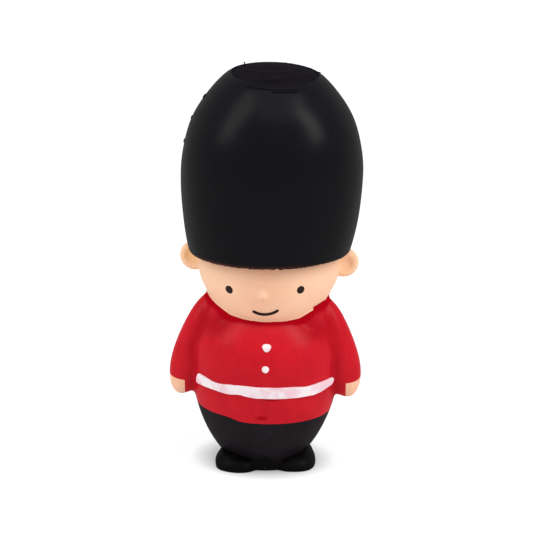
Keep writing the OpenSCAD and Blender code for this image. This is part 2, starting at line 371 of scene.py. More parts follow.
def block(low, high):
    """A box between two corners, for cutting."""
    low, high = Vector(low), Vector(high)
    deselect_all()
    bpy.ops.mesh.primitive_cube_add(size=1)
    piece = bpy.context.object
    piece.scale = high - low
    piece.location = (low + high) / 2
    bpy.ops.object.transform_apply(location=True, rotation=True, scale=True)
    return piece


def lathe(outline, segments):
    """A closed solid turned about Z: rings drawn out one after another along an outline."""
    radius, level = outline[0]
    deselect_all()
    bpy.ops.mesh.primitive_circle_add(
        vertices=segments, radius=radius, location=(0, 0, level), fill_type="TRIFAN")
    piece = place(bpy.context.object, (0, 0, level))
    select_where(piece, lambda point: point.xy.length > radius / 2)
    for next_radius, next_level in outline[1:]:
        bpy.ops.mesh.extrude_region_move(
            TRANSFORM_OT_translate={"value": (0, 0, next_level - level)})
        scale = next_radius / radius
        bpy.ops.transform.resize(
            value=(scale, scale, 1), center_override=(0, 0, next_level))
        radius, level = next_radius, next_level
    bpy.ops.mesh.extrude_region_move()
    bpy.ops.mesh.merge(type="CENTER")
    bpy.ops.mesh.select_all(action="SELECT")
    bpy.ops.mesh.remove_doubles(threshold=WELD)
    bpy.ops.mesh.normals_make_consistent(inside=False)
    bpy.ops.object.mode_set(mode="OBJECT")
    return piece


def arc(steps, start, end):
    """Angles from start to end, both included."""
    return [start + (end - start) * step / steps for step in range(steps + 1)]


def smooth_step(low, high, value):
    share = min(1, max(0, (value - low) / (high - low)))
    return share * share * (3 - 2 * share)


def hump(turn, centre, reach):
    """A soft hump of height 1 about an angle in degrees."""
    return math.exp(-((math.degrees(turn) - centre) / reach) ** 2)


def ruffle(piece, height, size, where=lambda point: 1):
    """Moves the surface in and out by soft noise of a given height and grain size."""
    points = []
    for vertex in piece.data.vertices:
        lift = noise.noise(vertex.co / size) * height * where(vertex.co)
        points.extend(vertex.co + vertex.normal * lift)
    piece.data.vertices.foreach_set("co", points)
    piece.data.update()


def facing(direction, location):
    """A place for a piece made about Z: its Z turns to a direction, its X stays level."""
    out = Vector(direction).normalized()
    side = Vector((0, 0, 1)).cross(out).normalized()
    up = out.cross(side)
    turn = Matrix((side, up, out)).transposed().to_4x4()
    return Matrix.Translation(location) @ turn


def finish_piece(piece, name, slot, material, *nodes, crease=40):
    """Names a piece, smooths its shading, gives it its finish and puts it in the frame."""
    piece.name = name
    piece.data.name = name
    activate(piece)
    bpy.ops.object.shade_smooth_by_angle(angle=math.radians(crease))
    piece.data.materials.clear()
    piece.data.materials.append(material)
    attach(piece, "root")
    if nodes:
        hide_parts(*nodes)
    return piece


class Egg:
    """Where an egg of the casting lies: how far a point is outside it, and its normal."""

    def __init__(self, matrix, radius, up, down, depth=1.0, narrow=0.0):
        self.inverse = matrix.inverted()
        self.turn = matrix.to_3x3()
        self.radius, self.up, self.down = radius, up, down
        self.depth, self.narrow = depth, narrow

    def width(self, rise):
        """Share of the full width at a level: the lower half may be narrowed."""
        return 1 - self.narrow * smooth_step(0.08, 0.5, -rise / self.down)

    def distance(self, point):
        local = self.inverse @ point
        height = self.up if local.z > 0 else self.down
        flat = Vector((local.x / self.width(local.z), local.y / self.depth,
                       local.z * self.radius / height))
        return flat.length - self.radius

    def normal(self, point):
        local = self.inverse @ point
        height = self.up if local.z > 0 else self.down
        slope = Vector((local.x, local.y, local.z * (self.radius / height) ** 2))
        return (self.turn @ slope).normalized()

    def solid(self, grow=0.0):
        piece = egg(self.radius + grow, self.up + grow, self.down + grow)
        for vertex in piece.data.vertices:
            vertex.co.x *= self.width(vertex.co.z)
            vertex.co.y *= self.depth
        return settle(piece, self.inverse.inverted())


def head_egg(scene):
    head = scene.guardsman_head
    matrix = Matrix.Translation((0, 0, head.level))
    return Egg(matrix, head.radius, head.radius, head.radius, narrow=head.narrow)


def body_egg(scene):
    coat, legs = scene.guardsman_coat, scene.guardsman_legs
    drop = (coat.wide_level - legs.seat_level) / math.sqrt(
        1 - (coat.seat_radius / coat.radius) ** 2)
    matrix = Matrix.Translation((0, 0, coat.wide_level))
    return Egg(matrix, coat.radius, coat.shoulder_rise, drop)


def arm_place(scene, side):
    """The place of an arm: its origin at the upper end, its Z up along the arm."""
    arm = scene.guardsman_arms
    out = arm.top_out - (arm.right_in if side == RIGHT else 0)
    top = Matrix.Translation((side * out, -arm.top_forward, arm.top_level))
    return top @ Matrix.Rotation(-side * arm.tilt, 4, "Y")


def arm_egg(scene, side):
    arm = scene.guardsman_arms
    up = arm.reach * arm.wide_share
    matrix = arm_place(scene, side) @ Matrix.Translation((0, 0, -up))
    short = arm.left_short if side == LEFT else -arm.right_long
    return Egg(matrix, arm.radius, up, arm.reach - up - short)


def shoulder_egg(scene, side):
    """The fuller part of the body between an arm and the neck."""
    coat = scene.guardsman_coat
    arm = scene.guardsman_arms
    out = coat.shoulder_out - (arm.right_in if side == RIGHT else 0)
    matrix = Matrix.Translation((side * out, -arm.top_forward, coat.shoulder_level))
    return Egg(matrix, coat.shoulder_wide, coat.shoulder_high, coat.shoulder_high,
               depth=coat.shoulder_depth)


def web_egg(scene, side):
    """The foam that bridges the gap between a hand and the body."""
    arm = scene.guardsman_arms
    lift = arm.left_short if side == LEFT else 0
    matrix = Matrix.Translation(
        (side * arm.web_out, -arm.top_forward, arm.web_level + lift))
    return Egg(matrix, arm.web_radius, arm.web_up, arm.web_down)


def body_point(scene, turn, level, off=0.0):
    """A point on the body at an angle from straight in front, with its outward normal."""
    body = body_egg(scene)
    coat = scene.guardsman_coat
    height = body.up if level > coat.wide_level else body.down
    radius = body.radius * math.sqrt(1 - ((level - coat.wide_level) / height) ** 2)
    point = Vector((radius * math.sin(turn), -radius * math.cos(turn), level))
    normal = body.normal(point)
    return point + normal * off, normal


def head_point(scene, turn, level, off=0.0):
    """A point on the head at an angle from straight in front, with its outward normal."""
    head = scene.guardsman_head
    rise = level - head.level
    radius = math.sqrt(head.radius ** 2 - rise ** 2)
    normal = Vector((radius * math.sin(turn), -radius * math.cos(turn), rise)).normalized()
    return Vector((0, 0, head.level)) + normal * (head.radius + off), normal


def add_node(tree, kind, inputs=(), **settings):
    """Adds a node with its settings; inputs are pairs of a socket and a value or a link."""
    node = tree.nodes.new(kind)
    for setting, value in settings.items():
        setattr(node, setting, value)
    for socket, value in inputs:
        if isinstance(value, bpy.types.NodeSocket):
            tree.links.new(value, node.inputs[socket])
        else:
            node.inputs[socket].default_value = value
    return node


def maths(tree, operation, first, second=0.0, clamp=False):
    node = add_node(
        tree, "ShaderNodeMath", ((0, first), (1, second)),
        operation=operation, use_clamp=clamp)
    return node.outputs[0]


def spread(tree, value, low, high, new_low=0.0, new_high=1.0):
    """Maps a value from one range to another, clamped and eased."""
    node = add_node(
        tree, "ShaderNodeMapRange",
        (("Value", value), ("From Min", low), ("From Max", high),
         ("To Min", new_low), ("To Max", new_high)),
        interpolation_type="SMOOTHSTEP")
    return node.outputs[0]


def blend(tree, share, first, second):
    node = add_node(
        tree, "ShaderNodeMix", ((0, share), (6, first), (7, second)),
        data_type="RGBA", clamp_factor=True)
    return node.outputs[2]


def opaque(rgb, share=1):
    """A paint's colour, or a darker or lighter share of it, that hides what is under it."""
    return (*(share * part for part in rgb), 1.0)


def patchy(tree, foam, rgb, low, high):
    """A paint that varies in soft patches between two shares of its own colour."""
    return blend(tree, foam.outputs["Patches"], opaque(rgb, low), opaque(rgb, high))


def new_group(name, inputs, outputs):
    """A node group with plain number sockets; inputs give each name its first value."""
    group = bpy.data.node_groups.new(name, "ShaderNodeTree")
    for socket_name, value in inputs.items():
        socket = group.interface.new_socket(
            socket_name, in_out="INPUT", socket_type="NodeSocketFloat")
        socket.default_value = value
    for socket_name in outputs:
        group.interface.new_socket(
            socket_name, in_out="OUTPUT", socket_type="NodeSocketFloat")
    return group


def foam_group():
    """Shared surface of skinned foam: its grain, its broad patches and specks of dust."""
    group = bpy.data.node_groups.get("Foam skin")
    if group:
        return group
    group = new_group(
        "Foam skin", dict(zip(FOAM_SIZES, (0.6 * MM, 12 * MM, 4 * MM))),
        ("Height", "Patches", "Specks"))
    sizes = add_node(group, "NodeGroupInput")
    place_on = add_node(group, "ShaderNodeTexCoord").outputs["Object"]
    grain_scale, patch_scale, speck_scale = (
        maths(group, "DIVIDE", 1.0, sizes.outputs[name]) for name in FOAM_SIZES)
    grain = add_node(
        group, "ShaderNodeTexNoise",
        (("Vector", place_on), ("Scale", grain_scale), ("Detail", 3.0)))
    pits = add_node(
        group, "ShaderNodeTexVoronoi",
        (("Vector", place_on), ("Scale", grain_scale), ("Randomness", 1.0)))
    pit_depth = spread(group, pits.outputs["Distance"], 0.0, 0.35, -0.5, 0.0)
    height = maths(group, "ADD", grain.outputs["Fac"], pit_depth)
    patches = add_node(
        group, "ShaderNodeTexNoise",
        (("Vector", place_on), ("Scale", patch_scale), ("Detail", 4.0),
         ("Roughness", 0.55)))
    specks = add_node(
        group, "ShaderNodeTexVoronoi",
        (("Vector", place_on), ("Scale", speck_scale), ("Randomness", 1.0)))
    dust = spread(group, specks.outputs["Distance"], 0.03, 0.055, 1.0, 0.0)
    add_node(
        group, "NodeGroupOutput",
        (("Height", height),
         ("Patches", spread(group, patches.outputs["Fac"], 0.3, 0.7)),
         ("Specks", dust)))
    return group


def streak_group():
    """Shared brush marks: long faint streaks that run up and down painted foam."""
    group = bpy.data.node_groups.get("Brush marks")
    if group:
        return group
    group = new_group("Brush marks", {"Streak width": 0.0012}, ("Streaks",))
    sizes = add_node(group, "NodeGroupInput")
    place_on = add_node(group, "ShaderNodeTexCoord").outputs["Object"]
    drawn = add_node(
        group, "ShaderNodeVectorMath", ((0, place_on), (1, (1.0, 1.0, 0.12))),
        operation="MULTIPLY")
    scale = maths(group, "DIVIDE", 1.0, sizes.outputs["Streak width"])
    marks = add_node(
        group, "ShaderNodeTexNoise",
        (("Vector", drawn.outputs[0]), ("Scale", scale), ("Detail", 2.0)))
    add_node(
        group, "NodeGroupOutput",
        (("Streaks", spread(group, marks.outputs["Fac"], 0.3, 0.7)),))
    return group


def marked(tree, name):
    """A mask that the piece itself carries, from 0 to 1, or 0 where it carries none."""
    return add_node(tree, "ShaderNodeAttribute", attribute_name=name).outputs["Fac"]


def own_place(tree):
    """The shaded point's own coordinates, one by one."""
    place_on = add_node(tree, "ShaderNodeTexCoord").outputs["Object"]
    return add_node(tree, "ShaderNodeSeparateXYZ", ((0, place_on),))


def foam_finish(name, sockets, sizes, bump):
    """Turns a function that mixes a paint's colour into one that gives the whole material.

    The sizes are those of grain, patches and specks and the bump its depth, all in
    millimetres, followed by the bump's strength. The material is made only once.
    """
    def as_material(mix_colour):
        def find_or_make(scene):
            material = bpy.data.materials.get(name)
            if material:
                return material
            material = bpy.data.materials.new(name)
            material.use_nodes = True
            tree = material.node_tree
            shader = tree.nodes["Principled BSDF"]
            for socket, value in sockets.items():
                shader.inputs[socket].default_value = value
            foam = add_node(tree, "ShaderNodeGroup", node_tree=foam_group())
            for socket, size in zip(FOAM_SIZES, sizes):
                foam.inputs[socket].default_value = size * MM
            colour_mix = mix_colour(scene, tree, foam)
            tree.links.new(colour_mix, shader.inputs["Base Color"])
            relief = add_node(
                tree, "ShaderNodeBump",
                (("Distance", bump[0] * MM), ("Strength", bump[1]),
                 ("Height", foam.outputs["Height"])))
            tree.links.new(relief.outputs["Normal"], shader.inputs["Normal"])
            return material
        return find_or_make
    return as_material


def dusted(tree, foam, worn, share, dust):
    """A worn paint with specks of dust on it."""
    dusty = maths(tree, "MULTIPLY", foam.outputs["Specks"], share)
    return blend(tree, dusty, worn, dust)


@foam_finish("hat_finish", {"Specular IOR Level": 0, "Coat Weight": 0.17, "Coat Roughness": 0.3},
             sizes=(0.35, 20, 3.5), bump=(0.06, 0.35))
def hat_black(scene, tree, foam):
    colours, hat = scene.guardsman_colours, scene.guardsman_hat
    worn = patchy(tree, foam, colours.hat, 1, 1.35)
    place_on = own_place(tree)
    tilted = maths(tree, "MULTIPLY", place_on.outputs["X"], math.tan(hat.brim_tilt))
    height = maths(tree, "SUBTRACT", place_on.outputs["Z"], tilted)
    on_crown = spread(tree, height, hat.crown_level - 9 * MM, hat.crown_level - 4 * MM)
    dusty_crown = dusted(tree, foam, worn, maths(tree, "MULTIPLY", on_crown, 0.10), DUST)
    ragged = maths(tree, "MULTIPLY", foam.outputs["Height"], 0.9 * MM)
    above_rim = maths(tree, "SUBTRACT", height, ragged)
    thin = spread(tree, above_rim, hat.brim_level - 0.3 * MM,
                  hat.brim_level + 0.7 * MM, new_low=0.9, new_high=0.0)
    off = maths(tree, "ABSOLUTE", maths(tree, "ADD", place_on.outputs["X"], 4 * MM))
    worn_share = maths(tree, "MULTIPLY", thin, spread(
        tree, off, 10 * MM, 18 * MM, new_low=1.0, new_high=0.15))
    return blend(tree, worn_share, dusty_crown, opaque(colours.fringe))


@foam_finish("gate_finish", {"Specular IOR Level": 0, "Coat Weight": 0.07, "Coat Roughness": 0.45},
             sizes=(0.6, 4, 4), bump=(0.12, 0.5))
def dull_black(scene, tree, foam):
    return patchy(tree, foam, scene.guardsman_colours.hat, 2, 3.2)


@foam_finish("skin_finish", {"Roughness": 0.5, "Specular IOR Level": 0.14},
             sizes=(0.5, 9, 6), bump=(0.04, 0.25))
def skin_paint(scene, tree, foam):
    colours = scene.guardsman_colours
    mottled = maths(tree, "MULTIPLY", foam.outputs["Patches"], 0.10)
    # Painted shade from the hollow mark, added to random mottling, darkens the skin towards its
    # darker, warmer colour
    shade_and_mottle = maths(tree, "ADD", marked(tree, "hollow"), mottled, clamp=True)
    shaded_skin = blend(tree, shade_and_mottle, opaque(colours.skin), opaque(colours.blush_and_shade))
    return blend(tree, marked(tree, "amber"), shaded_skin, opaque(colours.amber))


@foam_finish("coat_finish", {"Specular IOR Level": 0, "Coat Roughness": 0.32},
             sizes=(0.8, 8, 6), bump=(0.05, 0.25))
def coat_red(scene, tree, foam):
    colours = scene.guardsman_colours
    brush = add_node(tree, "ShaderNodeGroup", node_tree=streak_group())
    marks = maths(tree, "MULTIPLY", brush.outputs["Streaks"], 0.16)
    pooled = maths(tree, "MULTIPLY", foam.outputs["Patches"], 0.30)
    # The hollow mark holds painted shade beside the arms and under the chin, and two darker
    # patches; it darkens the red and takes away the gloss
    hollow = marked(tree, "hollow")
    deep = maths(tree, "ADD", maths(tree, "ADD", marks, pooled), hollow, clamp=True)
    gloss = spread(tree, hollow, 0.25, 0.85, new_low=0.18, new_high=0.0)
    tree.links.new(gloss, tree.nodes["Principled BSDF"].inputs["Coat Weight"])
    return blend(tree, deep, opaque(colours.coat), opaque(colours.coat_deep_and_shade))


@foam_finish("belt_finish", {"Roughness": 0.45, "Specular IOR Level": 0.2},
             sizes=(0.6, 5, 6), bump=(0.05, 0.3))
def belt_white(scene, tree, foam):
    colours = scene.guardsman_colours
    thin = spread(tree, foam.outputs["Patches"], 0.2, 1.0, new_low=0.05, new_high=0.6)
    return blend(tree, thin, opaque(colours.belt), opaque(colours.belt_thin))


@foam_finish("line_finish", {"Roughness": 0.4, "Specular IOR Level": 0.1},
             sizes=(0.3, 1.2, 2), bump=(0.03, 0.3))
def line_brown(scene, tree, foam):
    return patchy(tree, foam, scene.guardsman_colours.line, 1, 1.6)


@foam_finish("trouser_finish",
             {"Specular IOR Level": 0, "Coat Weight": 0.13, "Coat Roughness": 0.42},
             sizes=(0.5, 10, 5), bump=(0.06, 0.35))
def trouser_black(scene, tree, foam):
    worn = patchy(tree, foam, scene.guardsman_colours.trousers, 1, 1.4)
    return dusted(tree, foam, worn, 0.06, DUST)


@foam_finish("shoe_finish", {"Specular IOR Level": 0, "Coat Weight": 0.09, "Coat Roughness": 0.42},
             sizes=(0.5, 8, 4), bump=(0.08, 0.4))
def shoe_black(scene, tree, foam):
    worn = patchy(tree, foam, scene.guardsman_colours.shoes, 1, 1.8)
    return dusted(tree, foam, worn, 0.08, SHOE_DUST)


@foam_finish("core_finish", {"Roughness": 0.9, "Specular IOR Level": 0.2},
             sizes=(0.9, 6, 4), bump=(0.2, 0.6))
def foam_cream(scene, tree, foam):
    return patchy(tree, foam, scene.guardsman_colours.core, 1, 0.9)


def mark_share(piece, share, name="hollow"):
    """Stores a share from 0 to 1 at each point of a piece for its paint: how much painted shade
    lies there, or how much amber shows.
    """
    attribute = piece.data.attributes.new(name, "FLOAT", "POINT")
    for vertex in piece.data.vertices:
        attribute.data[vertex.index].value = share(vertex.co)


def softbox(name, azimuth, elevation, sides, power, aim, distance=1.1):
    """A soft light that faces the figure from a direction, its second side upwards."""
    turn, rise = math.radians(azimuth), math.radians(elevation)
    out = Vector((math.sin(turn) * math.cos(rise), -math.cos(turn) * math.cos(rise),
                  math.sin(rise)))
    deselect_all()
    bpy.ops.object.light_add(type="AREA", location=out * distance + Vector((0, 0, aim)))
    lamp = bpy.context.object
    lamp.name = name
    lamp.data.shape = "RECTANGLE"
    lamp.data.size, lamp.data.size_y = sides
    lamp.data.energy = power
    lamp.rotation_euler = out.to_track_quat("Z", "Y").to_euler()


def show_white(tree, plain, white):
    """Mixes two shaders, so that the camera and mirrors see the white one."""
    path = add_node(tree, "ShaderNodeLightPath")
    seen = maths(tree, "MAXIMUM", path.outputs["Is Camera Ray"], path.outputs["Is Glossy Ray"])
    seen = maths(tree, "MAXIMUM", seen, path.outputs["Is Transmission Ray"])
    return add_node(tree, "ShaderNodeMixShader", ((0, seen), (1, plain), (2, white))).outputs[0]


class GUARDSMAN_OT_stage(bpy.types.Operator):
    """Sets the camera, the soft lights, the white surroundings and the floor"""

    bl_idname = "guardsman.stage"
    bl_label = "Stage"

    def execute(self, context):
        scene = context.scene
        stage = scene.guardsman_stage
        scene.view_settings.view_transform = "Standard"
        self.add_camera(scene, stage)
        aim = stage.aim_level
        # Name, azimuth and elevation in degrees, sides in metres and power of each softbox
        for name, azimuth, elevation, sides, power in (
                ("key_softbox", 69, 43, (0.32, 0.75), stage.key_power),
                ("fill_softbox", -69, 43, (0.40, 1.0), stage.fill_power),
                ("top_softbox", 10, 72, (0.8, 0.8), stage.top_power)):
            softbox(name, azimuth, elevation, sides, power, aim)
        self.set_world(scene, stage)
        self.add_floor(stage)
        return {"FINISHED"}

    def add_camera(self, scene, stage):
        back = Vector((
            math.sin(stage.azimuth) * math.cos(stage.elevation),
            -math.cos(stage.azimuth) * math.cos(stage.elevation),
            math.sin(stage.elevation)))
        right = Vector((math.cos(stage.azimuth), math.sin(stage.azimuth), 0))
        up = back.cross(right)
        cosine, sine = math.cos(stage.roll), math.sin(stage.roll)
        axes = Matrix((right * cosine + up * sine, up * cosine - right * sine, back))
        deselect_all()
        bpy.ops.object.camera_add()
        camera = bpy.context.object
        camera.name = "camera"
        spot = Vector((0, 0, stage.aim_level)) + back * stage.distance
        camera.matrix_world = Matrix.Translation(spot) @ axes.transposed().to_4x4()
        camera.data.lens = stage.lens
        camera.data.shift_x = stage.shift_x
        camera.data.shift_y = stage.shift_y
        camera.data.clip_end = 20
        scene.camera = camera

    def set_world(self, scene, stage):
        world = bpy.data.worlds.new("white_room")
        world.use_nodes = True
        scene.world = world
        tree = world.node_tree
        tree.nodes.clear()
        sky = add_node(tree, "ShaderNodeBackground", (("Strength", stage.sky),))
        white = add_node(tree, "ShaderNodeBackground", (("Strength", 1.0),))
        for light in (sky, white):
            light.inputs["Color"].default_value = (1, 1, 1, 1)
        seen = show_white(tree, sky.outputs[0], white.outputs[0])
        add_node(tree, "ShaderNodeOutputWorld", (("Surface", seen),))

    def add_floor(self, stage):
        deselect_all()
        bpy.ops.mesh.primitive_plane_add(size=12, location=(0, 0, -0.02 * MM))
        floor = bpy.context.object
        floor.name = "floor"
        material = bpy.data.materials.new("white_floor")
        material.use_nodes = True
        tree = material.node_tree
        tree.nodes.clear()
        plain = add_node(tree, "ShaderNodeBsdfDiffuse", (("Color", (0.85, 0.85, 0.85, 1)),))
        faint = add_node(tree, "ShaderNodeBsdfDiffuse", (("Color", (0.25, 0.25, 0.25, 1)),))
        # Ambient occlusion dims the floor's glow round the figure: a painted contact shadow
        painted_contact_shadow = add_node(tree, "ShaderNodeAmbientOcclusion", (("Distance", stage.contact),))
        glow_with_painted_shadow = maths(tree, "MULTIPLY", painted_contact_shadow.outputs["AO"], stage.glow)
        glow = add_node(tree, "ShaderNodeEmission", (("Strength", glow_with_painted_shadow),))
        lit = add_node(
            tree, "ShaderNodeAddShader", ((0, faint.outputs[0]), (1, glow.outputs[0])))
        seen = show_white(tree, plain.outputs[0], lit.outputs[0])
        add_node(tree, "ShaderNodeOutputMaterial", (("Surface", seen),))
        floor.data.materials.append(material)


def make_core_copy():
    """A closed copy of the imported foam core, for hollowing the skins."""
    copy = duplicate(frame["nodes"]["foam_core"], "form_core")
    for key in list(copy.keys()):
        del copy[key]
    copy.parent = None
    bpy.ops.object.mode_set(mode="EDIT")
    bpy.ops.mesh.select_all(action="SELECT")
    bpy.ops.mesh.remove_doubles(threshold=WELD)
    bpy.ops.object.mode_set(mode="OBJECT")
    return copy


# How far up the brim's tilt fades out, and where below the crown its own lean starts and is full
BRIM_REACH = 14 * MM
CROWN_REACH = 10 * MM
CROWN_FULL = 2 * MM


def lean_down(hat, point):
    """How far the leaning crown lies below a level one."""
    return math.tan(hat.crown_lean) * point.x - math.tan(hat.crown_pitch) * point.y


def hat_outline(hat):
    """The hat's outline from under its rim up to the edge of its crown."""
    points = [(hat.brim_radius - hat.brim_round, hat.brim_level)]
    wide_level = hat.brim_level + hat.wide_up
    rim_level = hat.brim_level + hat.brim_round
    for turn in arc(5, 0, math.pi / 2)[1:-1]:
        points.append((hat.brim_radius - hat.brim_round * (1 - math.sin(turn)),
                       rim_level - hat.brim_round * math.cos(turn)))
    skirt = (hat.wide_up - hat.brim_round) / math.sqrt(
        1 - (hat.brim_radius / hat.radius) ** 2)
    for turn in arc(22, -math.acos(hat.brim_radius / hat.radius), 0)[:-1]:
        points.append((hat.radius * math.cos(turn), wide_level + skirt * math.sin(turn)))
    dome = (hat.crown_level - wide_level) / math.sqrt(
        1 - (hat.crown_radius / hat.radius) ** 2)
    edge = math.acos(hat.crown_shoulder / hat.radius)
    for turn in arc(34, 0, edge):
        drawn_in = hat.crown_taper * smooth_step(0.35, 0.85, math.sin(turn))
        points.append((hat.radius * math.cos(turn) - drawn_in,
                       wide_level + dome * math.sin(turn)))
    shoulder, level = points[-1]
    inner = hat.gate_radius + hat.gate_gap
    corner = hat.crown_radius - hat.crown_corner
    for share in arc(8, 0, 1)[1:]:
        ease = (1 - share) ** 2, 2 * share * (1 - share), share ** 2
        radius = shoulder * ease[0] + corner * ease[1] + inner * ease[2]
        height = level * ease[0] + hat.crown_level * (ease[1] + ease[2])
        points.append((radius, height - hat.crown_drop * ease[2]))
    return points


def crown_height(hat, radius):
    """Height of the hat's outline near its crown, at a radius."""
    points = hat_outline(hat)
    for (outer, low), (inner, high) in zip(points, points[1:]):
        if low > hat.brim_level + hat.wide_up and inner <= radius <= outer:
            return low + (high - low) * (outer - radius) / (outer - inner)
    return hat.crown_level


class GUARDSMAN_OT_casting(bpy.types.Operator):
    """Casts the plain forms that the skins are cut from: body, arms and head in one"""

    bl_idname = "guardsman.casting"
    bl_label = "Casting"

    def execute(self, context):
        scene = context.scene
        body, head = body_egg(scene), head_egg(scene)
        limbs = [make(scene, side) for make in (arm_egg, shoulder_egg, web_egg)
                 for side in (LEFT, RIGHT)]
        trunk = body.solid()
        seat = block((-1, -1, -1), (1, 1, scene.guardsman_legs.seat_level))
        combine(trunk, "DIFFERENCE", seat)
        remove(seat)
        casting = join(trunk, head.solid(), *[limb.solid() for limb in limbs])
        melt(casting, voxel=0.42 * MM, rounds=6)
        self.soften(casting, "arm_crease", lambda point: sorted(
            abs(form.distance(point)) for form in [body, *limbs])[1],
            reach=3.4 * MM, rounds=60)
        self.soften(casting, "chin_crease", lambda point: max(
            abs(head.distance(point)),
            min(abs(limb.distance(point)) for limb in [body, *limbs])),
            reach=1.0 * MM, rounds=6)
        ruffle(casting, height=0.07 * MM, size=7 * MM)
        casting.name = "form_casting"
        make_core_copy()
        hat = lathe(hat_outline(scene.guardsman_hat), segments=384)
        self.tilt(hat, scene.guardsman_hat)
        hat.name = "form_hat"
        face_zone = head.solid(scene.guardsman_head.chin_line)
        face_zone.name = "form_face_zone"
        self.overlap_paint(scene, face_zone)
        for side, word in SIDES:
            zone = arm_egg(scene, side).solid(scene.guardsman_arms.margin)
            zone.name = "form_arm_" + word
        return {"FINISHED"}

    def overlap_paint(self, scene, face_zone):
        """Lets the coat's paint run a little way up the face beside one shoulder."""
        reach = 0.1
        for make in (arm_egg, shoulder_egg):
            paint = make(scene, LEFT).solid(scene.guardsman_coat.overlap)
            beside = block((scene.guardsman_coat.overlap_out, -reach, 0),
                           (reach, reach, 2 * reach))
            combine(paint, "INTERSECT", beside)
            combine(face_zone, "DIFFERENCE", paint)
            remove(paint, beside)

    def tilt(self, piece, hat):
        """Tilts the brim and the crown a little, and sags the brim at both ears."""
        for vertex in piece.data.vertices:
            point = vertex.co
            turn = math.atan2(point.x, -point.y)
            low = 1 - smooth_step(hat.brim_level, hat.brim_level + BRIM_REACH, point.z)
            high = smooth_step(hat.crown_level - CROWN_REACH, hat.crown_level - CROWN_FULL,
                               point.z)
            sag = hat.brim_sag * math.sin(turn) ** 4
            point.z += (math.tan(hat.brim_tilt) * point.x - sag - hat.brim_drop) * low
            point.z -= lean_down(hat, point) * high
        piece.data.update()

    def soften(self, casting, name, distance, reach, rounds):
        """Smooths the casting only where a distance stays under a reach."""
        group = casting.vertex_groups.new(name=name)
        for vertex in casting.data.vertices:
            weight = 1 - smooth_step(0.35 * reach, reach, distance(vertex.co))
            if weight > 0:
                group.add([vertex.index], weight, "REPLACE")
        modify(casting, "SMOOTH", factor=0.5, iterations=rounds, vertex_group=name)
        casting.vertex_groups.clear()


def form(name):
    return bpy.data.objects["form_" + name]


# Depth of the closed hole below the crown, and height over which the brim's edge is frayed
HOLE_DEPTH = 1.2 * MM
FRAY_HEIGHT = 0.8 * MM
# Level and radius of each nib on the right, in millimetres
NIBS = ((97.9, 0.34), (105.2, 0.34), (111.8, 0.40))
# Place of the burst bubble's rim on the crown, and its radius
BUBBLE_SPOT = (-9.7 * MM, 9.0 * MM)
BUBBLE_RADIUS = 0.3 * MM
# Start and end in degrees of the torn lip, anticlockwise from the left ear
LIP = (-8, 92)
# Radius in millimetres, start and end in degrees of the two ridges before the hole
RIDGES = ((14.3, -124, -63), (15.0, -90, -60))
RIDGE_LUMP = (0.35 * MM, 0.14 * MM, 0.14 * MM)


